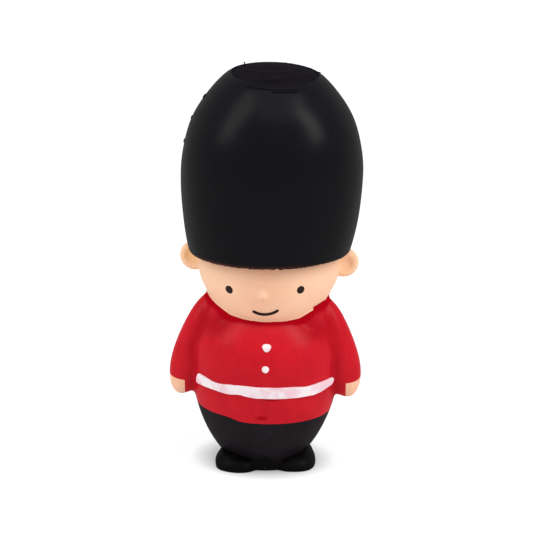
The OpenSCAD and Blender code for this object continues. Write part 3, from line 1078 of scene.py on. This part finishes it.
class GUARDSMAN_OT_hat(bpy.types.Operator):
    """Builds the tall hat with its ragged brim, the closed pouring hole and the flash"""

    bl_idname = "guardsman.hat"
    bl_label = "Hat"

    def execute(self, context):
        scene = context.scene
        hat = scene.guardsman_hat
        skin = duplicate(form("hat"), "hat_shell")
        ruffle(skin, height=0.16 * MM, size=11 * MM)
        plug = lathe([
            (hat.gate_radius, hat.crown_level - HOLE_DEPTH),
            (hat.gate_radius, hat.crown_level + 5 * MM)], segments=96)
        combine(skin, "DIFFERENCE", form("core"), plug)
        remove(plug)
        self.fray(skin, hat)
        black = hat_black(scene)
        finish_piece(skin, "hat", "hat_black", black, "hat_skin")
        self.add_gate(hat, dull_black(scene))
        self.add_flash(hat, black)
        return {"FINISHED"}

    def fray(self, skin, hat):
        """Makes the brim's lower edge stray up and down, as torn paint does."""
        slope = math.tan(hat.brim_tilt)
        level = hat.brim_level - hat.brim_drop
        for vertex in skin.data.vertices:
            point = vertex.co
            turn = math.atan2(point.x, -point.y)
            edge = level + slope * point.x - hat.brim_sag * math.sin(turn) ** 4
            share = 1 - smooth_step(edge, edge + FRAY_HEIGHT, point.z)
            if share > 0 and point.xy.length > hat.brim_radius - 2 * hat.brim_round:
                torn = 0.3 + 0.7 * hump(turn, -8, 45)
                wave = 0.8 * noise.noise(Vector((turn * 22, 0, 3)))
                wave += noise.noise(Vector((turn * 65, 5, 0)))
                point.z += hat.rag * wave * share * torn
        skin.data.update()

    def add_gate(self, hat, black):
        """The stub left in the crown where the mould was filled."""
        low = gate_box[0].z
        top = hat.crown_level - hat.crown_drop
        side = hat.gate_radius - 0.02 * MM
        rings = [(side, low), (side, top - 0.3 * MM)]
        for share in arc(24, 1, 0.02):
            rise = hat.crown_rise * (1 - share ** 2.2) - 0.1 * MM
            rings.append((side * share, top + rise))
        stub = lathe(rings, segments=160)

        def on_top(point):
            return smooth_step(top - 0.8 * MM, top - 0.5 * MM, point.z)

        for height, size in ((0.22, 3.2), (0.12, 1.1)):
            ruffle(stub, height * MM, size * MM, on_top)
        for vertex in stub.data.vertices:
            vertex.co.z -= lean_down(hat, vertex.co) * on_top(vertex.co)
        finish_piece(stub, "gate", "hat_black", black, "gate_stub", crease=60)

    def add_flash(self, hat, black):
        """Nibs of flash on the mould's parting line, and a torn lip and ridges by the hole."""
        nibs = []
        for level, size in NIBS:
            radius = min(hat_outline(hat), key=lambda spot: abs(spot[1] - level * MM))[0]
            nib = egg(size * MM, 2.2 * size * MM, 2.2 * size * MM, segments=16)
            lean = math.acos(min(1, radius / hat.radius))
            nibs.append(place(nib, (0.1 * MM - radius, 0, level * MM), (("Y", lean),)))
        bubble = egg(BUBBLE_RADIUS, BUBBLE_RADIUS, BUBBLE_RADIUS, segments=16)
        nibs.append(place(bubble, (*BUBBLE_SPOT, hat.crown_level + 0.1 * MM)))
        chance = random.Random(7)
        for turn in arc(26, math.radians(LIP[0]), math.radians(LIP[1])):
            size = chance.uniform(0.35, 0.7) * MM
            lump = egg(size, 0.5 * size, size, segments=20)
            reach = hat.gate_radius + chance.uniform(-0.7, 0.7) * MM
            spot = Vector((reach * math.cos(turn), reach * math.sin(turn), hat.crown_level))
            spot.z -= hat.crown_drop + 0.2 * MM + lean_down(hat, spot)
            nibs.append(place(lump, spot))
        for reach, start, end in RIDGES:
            level = crown_height(hat, reach * MM)
            for turn in arc(30, math.radians(start), math.radians(end)):
                spot = Vector((reach * math.cos(turn), reach * math.sin(turn), 0)) * MM
                spot.z = level - lean_down(hat, spot)
                nibs.append(place(egg(*RIDGE_LUMP, segments=16), spot))
        flash = melt(join(*nibs), voxel=0.1 * MM, rounds=3)
        ruffle(flash, height=0.1 * MM, size=0.6 * MM)
        finish_piece(flash, "hat_flash", "hat_black", black)


# Where the nose sits, which is a little to the right of the middle
NOSE_TURN = math.radians(-1.4)
NOSE_LEVEL = 57.7 * MM
# Level of the bridge of the nose and of the chin's edge, where shade is painted into the skin, and
# how much shade lies beside the bridge
BRIDGE_LEVEL = 59.6 * MM
CHIN_LEVEL = 48.5 * MM
BRIDGE_SHADE = 0.24
# How deep the amber shows in the hollow of each ear
AMBER = {"left": 0.08, "right": 0.36}


class GUARDSMAN_OT_face(bpy.types.Operator):
    """Builds the face with its nose and its two ears"""

    bl_idname = "guardsman.face"
    bl_label = "Face and ears"

    def execute(self, context):
        scene = context.scene
        head = scene.guardsman_head
        paint = skin_paint(scene)
        face = duplicate(form("casting"), "face_shell")
        combine(face, "INTERSECT", form("face_zone"))
        combine(face, "DIFFERENCE", form("core"), form("hat"))
        brim = scene.guardsman_hat.brim_level
        bridge, _ = head_point(scene, NOSE_TURN, BRIDGE_LEVEL)

        # Painted shade: darker, warmer skin under the brim, along the chin's edge and beside the
        # bridge of the nose
        def painted_shade(point):
            forehead = 0.35 * (1 - smooth_step(0, 5 * MM, brim - point.z))
            chin = 0.25 * (1 - smooth_step(0, 1.5 * MM, point.z - CHIN_LEVEL))
            beside = 1 - smooth_step(3 * MM, 11 * MM, (point - bridge).length)
            return forehead + chin + BRIDGE_SHADE * beside

        mark_share(face, painted_shade)
        finish_piece(face, "face", "skin_paint", paint, "face_skin")
        self.add_nose(scene, head, paint)
        for side, word in SIDES:
            self.add_ear(scene, head, paint, side, word)
        return {"FINISHED"}

    def add_nose(self, scene, head, paint):
        """A soft bump that runs out into the face."""
        rings = [(head.nose_radius, -0.5 * MM)]
        for share in arc(18, 1, 0.03):
            rise = head.nose_rise * math.exp(-4.2 * share ** 2)
            sink = head.radius - math.sqrt(head.radius ** 2 - (share * head.nose_radius) ** 2)
            rings.append((head.nose_radius * share, rise - sink - 0.02 * MM))
        nose = lathe(rings, segments=64)
        for vertex in nose.data.vertices:
            vertex.co.y *= head.nose_stretch
        spot, normal = head_point(scene, NOSE_TURN, NOSE_LEVEL)
        settle(nose, facing(normal, spot))
        # Painted shade of the bridge at the nose's edge and none at its tip, so that the tip reads
        # lighter
        mark_share(nose, lambda point: BRIDGE_SHADE * smooth_step(
            0.8 * MM, 2.3 * MM, (point - spot).length))
        finish_piece(nose, "nose", "skin_paint", paint, "nose")

    def add_ear(self, scene, head, paint, side, word):
        """A dished ear with a round rim and a domed back."""
        rings = [(head.ear_radius * math.sin(turn), -head.ear_back * math.cos(turn))
                 for turn in arc(16, 0.05, math.pi / 2)]
        for turn in arc(14, 0, math.radians(150))[1:]:
            rings.append((head.ear_radius - head.ear_rim * (1 - math.cos(turn)),
                          head.ear_rim * math.sin(turn)))
        edge_radius, edge_level = rings[-1]
        floor_level = head.ear_rim - head.ear_dish
        for share in arc(8, 0.9, 0.05):
            rings.append((edge_radius * share,
                          floor_level + (edge_level - floor_level) * share ** 2))
        ear = lathe(rings, segments=96)
        spot = (side * head.ear_out, 0, head.level + head.ear_rise)
        place(ear, spot, (("Z", side * head.ear_turn), ("X", math.pi / 2)))
        ear = join(ear, head_egg(scene).solid())
        modify(ear, "REMESH", mode="VOXEL", voxel_size=0.22 * MM)
        near = ear.vertex_groups.new(name="near_ear")
        centre = Vector(spot)
        for vertex in ear.data.vertices:
            if (vertex.co - centre).length < 1.6 * head.ear_radius:
                near.add([vertex.index], 1.0, "REPLACE")
        modify(ear, "SMOOTH", factor=0.5, iterations=14, vertex_group="near_ear")
        ear.vertex_groups.clear()
        combine(ear, "DIFFERENCE", form("casting"), form("hat"))
        self.keep_near(ear, centre, 2 * head.ear_radius)
        outer = centre + Vector((side * 0.8 * MM, 0, 0.6 * MM))
        mark_share(ear, lambda point: 0.12 + AMBER[word] * (1 - smooth_step(
            0.3 * head.ear_radius, 0.8 * head.ear_radius, (point - outer).length)), "amber")
        finish_piece(ear, "ear_shell_" + word, "skin_paint", paint, "ear_" + word)

    def keep_near(self, piece, centre, reach):
        """Removes what the cut leaves of the head away from the ear."""
        select_where(piece, lambda point: (point - centre).length > reach)
        bpy.ops.mesh.delete(type="VERT")
        bpy.ops.object.mode_set(mode="OBJECT")


def front_belt(coat, turn):
    """Lower and upper edge of the front belt at an angle.

    Its humps are millimetres high and lie about degrees, as the brush left them.
    """
    end = smooth_step(42, 68, math.degrees(turn))
    raised = 0.6 * hump(turn, -16, 7) + 0.4 * hump(turn, -42, 16)
    low = coat.belt_low + (raised + 1.35 * end) * MM
    high = coat.belt_high - (0.75 * hump(turn, -36, 11) + 0.35 * hump(turn, 37, 9)) * MM
    return low, high


def paint_stroke(name, spot, steps, ground, rise):
    """A raised strip of paint. spot(along, across) gives its points for -1 to 1."""
    along_steps, across_steps = steps
    deselect_all()
    bpy.ops.mesh.primitive_grid_add(
        x_subdivisions=along_steps, y_subdivisions=across_steps, size=2)
    strip = bpy.context.object
    strip.name = name
    for vertex in strip.data.vertices:
        vertex.co = spot(vertex.co.x, vertex.co.y)
    strip.data.update()
    modify(strip, "SHRINKWRAP", target=ground, wrap_method="NEAREST_SURFACEPOINT",
           wrap_mode="OUTSIDE_SURFACE", offset=0.0)
    activate(strip)
    bpy.ops.object.mode_set(mode="EDIT")
    bpy.ops.mesh.select_all(action="SELECT")
    bpy.ops.mesh.remove_doubles(threshold=0.01 * MM)
    bpy.ops.mesh.normals_make_consistent(inside=False)
    bpy.ops.object.mode_set(mode="OBJECT")
    outwards = sum((face.normal.dot(face.center - Vector((0, 0, face.center.z)))
                    for face in strip.data.polygons), 0.0)
    if outwards < 0:
        strip.data.flip_normals()
    sink = 0.12 * MM
    modify(strip, "SOLIDIFY", thickness=rise + sink, offset=-1 + 2 * rise / (rise + sink))
    modify(strip, "BEVEL", width=0.4 * rise, segments=3, limit_method="ANGLE",
           angle_limit=math.radians(50))
    return strip


# Side, name, turn in degrees and level in millimetres of each eye
EYES = ((LEFT, "left", 30.4, 59.0), (RIGHT, "right", -30.9, 57.9))
MOUTH_TURN = math.radians(1.4)
MOUTH_HALF_ANGLE = math.radians(37.5)
MOUTH_LEVEL = 51.0 * MM
# How much the smile rises towards the left, over its width
MOUTH_SLOPE = 0.09


class GUARDSMAN_OT_face_paint(bpy.types.Operator):
    """Paints the two eyes and the smiling line"""

    bl_idname = "guardsman.face_paint"
    bl_label = "Eyes and mouth"

    def execute(self, context):
        scene = context.scene
        head = scene.guardsman_head
        brown = line_brown(scene)
        for side, word, turn, level in EYES:
            self.add_eye(scene, head, brown, side, word, math.radians(turn), level * MM)
        self.add_mouth(scene, head, brown)
        return {"FINISHED"}

    def add_eye(self, scene, head, brown, side, word, turn, level):
        """A flattened, nearly round bead of paint that leans towards the nose."""
        eye = egg(0.5, 0.5, 0.5, segments=48)
        settle(eye, Matrix.Diagonal(
            (head.eye_width, head.eye_height, 4 * head.paint_rise, 1)))
        spot, normal = head_point(scene, turn, level, -0.9 * head.paint_rise)
        lean = Matrix.Rotation(-side * head.eye_lean, 4, "Z")
        settle(eye, facing(normal, spot) @ lean)
        finish_piece(eye, "eye_bead_" + word, "line_brown", brown, "eye_" + word)

    def add_mouth(self, scene, head, brown):
        """A thin line that follows an arc and thins out at both ends."""
        centre_level = MOUTH_LEVEL + head.mouth_radius

        def spot(along, across):
            end = 1 - smooth_step(0.88, 1.0, abs(along)) * 0.999
            width = 0.5 * head.mouth_line * math.sqrt(end)
            turn = MOUTH_HALF_ANGLE * along
            radius = head.mouth_radius + across * width
            side = radius * math.sin(turn)
            level = centre_level - radius * math.cos(turn) + MOUTH_SLOPE * side
            ring = math.sqrt(head.radius ** 2 - (level - head.level) ** 2)
            point, _ = head_point(scene, MOUTH_TURN + math.asin(side / ring), level)
            return point

        mouth = paint_stroke("mouth_line", spot, (56, 8), form("casting"), head.paint_rise)
        finish_piece(mouth, "mouth_line", "line_brown", brown, "mouth")


# Turn in degrees, level, half width and half height in millimetres, and share of each darker
# patch: a smear of paint above the hem and a darker band just under the belt
DARKER_PATCHES = ((1.2, 19.4, 2.4, 1.0, 0.75), (8.5, 25.7, 3.4, 0.6, 0.75))


# Radius and height of the cutting block under the hem, and radius of its plain middle
HEM_REACH = 50 * MM
HEM_DEPTH = 30 * MM
HEM_HUB = 6 * MM
# Where the hem's higher part on the right starts and ends, in degrees, each as a soft step
HEM_START = (-150, -110)
HEM_END = (-33, -14)


def hem_block(coat):
    """Everything below the hem, which runs higher on the right and drops in a soft step."""
    base = coat.hem_level + coat.hem_lift
    piece = lathe([(HEM_REACH, base - HEM_DEPTH), (HEM_REACH, base), (HEM_HUB, base)],
                  segments=180)
    for vertex in piece.data.vertices:
        degrees = math.degrees(math.atan2(vertex.co.x, -vertex.co.y))
        right = smooth_step(*HEM_START, degrees) * (1 - smooth_step(*HEM_END, degrees))
        if vertex.co.z > base - 1 * MM and vertex.co.xy.length > 1 * MM:
            vertex.co.z += coat.hem_step * right
    return piece


class GUARDSMAN_OT_coat(bpy.types.Operator):
    """Cuts the coat, its sleeves and the bare hands from the casting"""

    bl_idname = "guardsman.coat"
    bl_label = "Coat, sleeves and hands"

    def execute(self, context):
        scene = context.scene
        coat, arm = scene.guardsman_coat, scene.guardsman_arms
        red, paint = coat_red(scene), skin_paint(scene)
        body = body_egg(scene)
        hem = hem_block(coat)
        shell = duplicate(form("casting"), "coat_shell")
        combine(shell, "DIFFERENCE", form("face_zone"), form("arm_left"),
                form("arm_right"), hem, form("core"))
        head = head_egg(scene)
        forms = [body] + [make(scene, side) for make in (arm_egg, shoulder_egg)
                          for side in (LEFT, RIGHT)]

        def thickness(point):
            """Painted shade beside the arms, less on the shoulders, and under the chin, with two
            darker patches.
            """
            near = sorted(abs(form.distance(point)) for form in forms)[1]
            chin = smooth_step(0.5 * MM, 2.6 * MM, head.distance(point))
            fade = 1 - 0.6 * smooth_step(46 * MM, 52 * MM, point.z)
            deep = 0.5 * (1 - smooth_step(0.5 * MM, 3.5 * MM, near)) * fade
            return deep + 0.9 * (1 - chin) + self.darker_patch(scene, point)

        mark_share(shell, thickness)
        finish_piece(shell, "coat", "coat_red", red, "coat_skin")
        for side, word in SIDES:
            sleeve = duplicate(form("casting"), "sleeve_shell")
            combine(sleeve, "INTERSECT", form("arm_" + word))
            combine(sleeve, "DIFFERENCE", form("face_zone"), form("core"))
            hand = duplicate(sleeve, "hand_shell")
            below_cuff = self.cuff_block(arm, side)
            combine(hand, "INTERSECT", below_cuff)
            combine(sleeve, "DIFFERENCE", below_cuff)
            remove(below_cuff)
            mark_share(sleeve, thickness)
            # Each hand's skin paint is made evenly darker and warmer, the left more than the right
            mark_share(hand, lambda point: 0.3 if side == LEFT else 0.2)
            finish_piece(sleeve, "sleeve_shell_" + word, "coat_red", red, "sleeve_" + word)
            finish_piece(hand, "hand_shell_" + word, "skin_paint", paint, "hand_" + word)
        remove(hem)
        return {"FINISHED"}

    def darker_patch(self, scene, point):
        """Darker patches: a smear of paint above the hem and a darker band just under the belt."""
        if point.y > 0:
            return 0
        deep = 0
        for turn, level, wide, high, share in DARKER_PATCHES:
            spot, _ = body_point(scene, math.radians(turn), level * MM)
            off = math.hypot((point.x - spot.x) / wide, (point.z - spot.z) / high) / MM
            deep += share * (1 - smooth_step(0.3, 1.2, off))
        return deep

    def cuff_block(self, arm, side):
        """Everything past the cuff and outside the inner edge of the hand."""
        reach = 60 * MM
        piece = block((-reach, -reach, -reach), (reach, reach, 0))
        level = arm.cuff_level + (arm.cuff_lift if side == LEFT else 0)
        place(piece, (0, -arm.top_forward, level), (("X", arm.cuff_slope),))
        inner = arm.hand_inner + (arm.hand_aside if side == LEFT else 0)
        low, high = sorted((side * inner, side * reach))
        outside = block((low, -reach, 0), (high, reach, reach))
        combine(piece, "INTERSECT", outside)
        remove(outside)
        return piece


# Name, node, start and end in degrees, and seed of each stroke of the belt
BELTS = (
    ("belt_paint_front", "belt_front", -62.3, 67.0, 2),
    ("belt_paint_back", "belt_back", 106.0, 254.0, 9),
)
# Name, node, turn in degrees, drop in millimetres, box, size of the corners and seed
BUTTONS = (
    ("button_bead_upper", "button_upper", 3.4, 0.7, upper_button_box, 0.08, 0),
    ("button_bead_lower", "button_lower", 3.0, -0.35, lower_button_box, 0.03, 1),
)


class GUARDSMAN_OT_belt(bpy.types.Operator):
    """Paints the belt in front and behind, and the two buttons"""

    bl_idname = "guardsman.belt"
    bl_label = "Belt and buttons"

    def execute(self, context):
        scene = context.scene
        coat = scene.guardsman_coat
        white = belt_white(scene)
        for stroke in BELTS:
            self.add_belt(scene, coat, white, *stroke)
        for button in BUTTONS:
            self.add_button(scene, coat, white, *button)
        return {"FINISHED"}

    def add_belt(self, scene, coat, white, name, node, start, end, seed):
        """One stroke of the belt, with wandering edges and rounded ends."""
        middle_turn = math.radians((start + end) / 2)
        half_turn = math.radians((end - start) / 2)

        def spot(along, across):
            turn = middle_turn + half_turn * along
            end_share = max(0, abs(along) - 0.965) / 0.035
            end_width = math.sqrt(max(0.0004, 1 - end_share ** 2))
            if node == "belt_front":
                low, high = front_belt(coat, turn)
                slant = across * end_width * smooth_step(0.8, 1, -along)
                turn += math.radians(2.5) * slant
            else:
                low = coat.belt_level - coat.belt_width / 2
                high = coat.belt_level + coat.belt_width / 2
            centre = (low + high) / 2
            edge = Vector((turn * 9, seed, across * 1.5))
            wave = 0.07 * MM * noise.noise(edge) + 0.05 * MM * noise.noise(edge * 3)
            width = (high - low) / 2 * end_width
            point, _ = body_point(scene, turn, centre + across * (width + wave), 0.3 * MM)
            return point

        belt = paint_stroke(name, spot, (160, 10), form("casting"), coat.belt_rise)
        finish_piece(belt, name, "belt_white", white, node)

    def add_button(self, scene, coat, white, name, node, turn, drop, box, corners, seed):
        """A bead of paint, a little three-cornered or nearly round."""
        radius = 0.86 * (box[1].x - box[0].x) / 2
        low_share = 1 - 0.7 * corners
        rings = [(radius, -0.4 * MM)]
        for rise in arc(10, 0.0, math.pi / 2 - 0.06):
            rings.append((radius * math.cos(rise) ** 0.7, coat.button_rise * math.sin(rise)))
        bead = lathe(rings, segments=72)
        for vertex in bead.data.vertices:
            around = math.atan2(vertex.co.y, vertex.co.x)
            swell = 1 + corners * math.cos(3 * (around - math.radians(30)))
            swell += 0.04 * noise.noise(Vector((math.cos(around), math.sin(around), seed)))
            vertex.co.x *= swell
            vertex.co.y *= swell * low_share
        spot, normal = body_point(scene, math.radians(turn), middle(box).z - drop * MM)
        settle(bead, facing(normal, spot))
        finish_piece(bead, name, "belt_white", white, node)


# Levels between which the groove between the legs fades, and how far in front it lies
NOTCH_FULL = 3.8 * MM
NOTCH_TOP = 5.8 * MM
NOTCH_FRONT = -4 * MM


class GUARDSMAN_OT_legs(bpy.types.Operator):
    """Cuts the trousers from the casting and builds the shoes under them"""

    bl_idname = "guardsman.legs"
    bl_label = "Trousers and shoes"

    def execute(self, context):
        scene = context.scene
        coat, legs = scene.guardsman_coat, scene.guardsman_legs
        pressed = duplicate(form("casting"), "form_pressed")
        self.press_notch(pressed, legs)
        trousers = duplicate(pressed, "trousers_shell")
        hem = hem_block(coat)
        combine(trousers, "INTERSECT", hem)
        combine(trousers, "DIFFERENCE", form("core"))
        remove(hem)
        finish_piece(trousers, "trousers", "trouser_black", trouser_black(scene),
                     "trousers_skin")
        soles = self.make_soles(legs)
        black = shoe_black(scene)
        half = 60 * MM
        for side, word in SIDES:
            shoe = duplicate(soles, "shoe_shell")
            low, high = (0, half) if side == LEFT else (-half, 0)
            own_half = block((low, -half, 0), (high, half, half))
            combine(shoe, "INTERSECT", own_half)
            remove(own_half)
            finish_piece(shoe, "shoe_shell_" + word, "shoe_black", black, "shoe_" + word)
        remove(soles)
        return {"FINISHED"}

    def press_notch(self, piece, legs):
        """Presses the soft groove between the legs into the front of the seat."""
        for vertex in piece.data.vertices:
            point = vertex.co
            low = 1 - smooth_step(NOTCH_FULL, NOTCH_TOP, point.z)
            if low > 0 and point.y < NOTCH_FRONT:
                away = (point.x - legs.shoe_aside) / legs.notch_width
                point.y += legs.notch_depth * math.exp(-away ** 2) * low
        piece.data.update()

    def make_soles(self, legs):
        """Both shoes and the plate between them, in one soft form."""
        parts = []
        for side in (LEFT, RIGHT):
            lobe = egg(legs.shoe_radius, legs.shoe_length / 2, legs.shoe_length / 2)
            for vertex in lobe.data.vertices:
                across = vertex.co.x / legs.shoe_radius
                along = vertex.co.z / (legs.shoe_length / 2)
                flat = math.hypot(across, along)
                if flat > 0.01:
                    power = legs.shoe_square
                    corner = abs(across / flat) ** power + abs(along / flat) ** power
                    square = corner ** (-1 / power)
                    vertex.co.x *= square
                    vertex.co.z *= square
                vertex.co.y *= legs.shoe_rise / legs.shoe_radius
            forward = legs.shoe_forward - side * legs.shoe_stagger
            place(lobe, (legs.shoe_aside + side * legs.shoe_out, -forward, legs.shoe_level),
                  (("Z", side * legs.shoe_splay), ("X", math.pi / 2)))
            parts.append(lobe)
        rings = [(legs.plate_radius, -1 * MM)]
        for turn in arc(8, 0, math.pi / 2):
            rings.append((legs.plate_radius - legs.plate_round * (1 - math.cos(turn)),
                          legs.plate_height - legs.plate_round * (1 - math.sin(turn))))
        parts.append(lathe(rings, segments=128))
        soles = melt(join(*parts), voxel=0.35 * MM, rounds=14)
        ruffle(soles, height=0.12 * MM, size=3 * MM)
        combine(soles, "DIFFERENCE", form("pressed"), form("core"))
        return soles


class GUARDSMAN_OT_core(bpy.types.Operator):
    """Finishes the foam core and clears the plain forms away"""

    bl_idname = "guardsman.core"
    bl_label = "Core"

    def execute(self, context):
        core = frame["nodes"]["foam_core"]
        core.data.materials.clear()
        core.data.materials.append(foam_cream(context.scene))
        remove(*[piece for piece in bpy.data.objects if piece.name.startswith("form_")])
        return {"FINISHED"}


class GUARDSMAN_PT_panel(bpy.types.Panel):
    """Lists the steps that build the guardsman"""

    bl_idname = "GUARDSMAN_PT_panel"
    bl_label = "Guardsman"
    bl_space_type = "VIEW_3D"
    bl_region_type = "UI"
    bl_category = "Guardsman"

    def draw(self, context):
        for step in STEPS:
            self.layout.operator(step.bl_idname)


GROUPS = {
    "guardsman_stage": StageSettings,
    "guardsman_hat": HatSizes,
    "guardsman_head": HeadSizes,
    "guardsman_coat": CoatSizes,
    "guardsman_arms": ArmSizes,
    "guardsman_legs": LegSizes,
    "guardsman_colours": Colours,
}
STEPS = (
    GUARDSMAN_OT_stage,
    GUARDSMAN_OT_casting,
    GUARDSMAN_OT_hat,
    GUARDSMAN_OT_face,
    GUARDSMAN_OT_face_paint,
    GUARDSMAN_OT_coat,
    GUARDSMAN_OT_belt,
    GUARDSMAN_OT_legs,
    GUARDSMAN_OT_core,
)


def register():
    for name, group in GROUPS.items():
        bpy.utils.register_class(group)
        setattr(bpy.types.Scene, name, bpy.props.PointerProperty(type=group))
    for step in STEPS:
        bpy.utils.register_class(step)
    bpy.utils.register_class(GUARDSMAN_PT_panel)


def unregister():
    bpy.utils.unregister_class(GUARDSMAN_PT_panel)
    for step in reversed(STEPS):
        bpy.utils.unregister_class(step)
    for name, group in GROUPS.items():
        delattr(bpy.types.Scene, name)
        bpy.utils.unregister_class(group)


def main():
    register()
    bpy.ops.guardsman.stage()
    bpy.ops.guardsman.casting()
    bpy.ops.guardsman.hat()
    bpy.ops.guardsman.face()
    bpy.ops.guardsman.face_paint()
    bpy.ops.guardsman.coat()
    bpy.ops.guardsman.belt()
    bpy.ops.guardsman.legs()
    bpy.ops.guardsman.core()


if __name__ == "__main__":
    main()
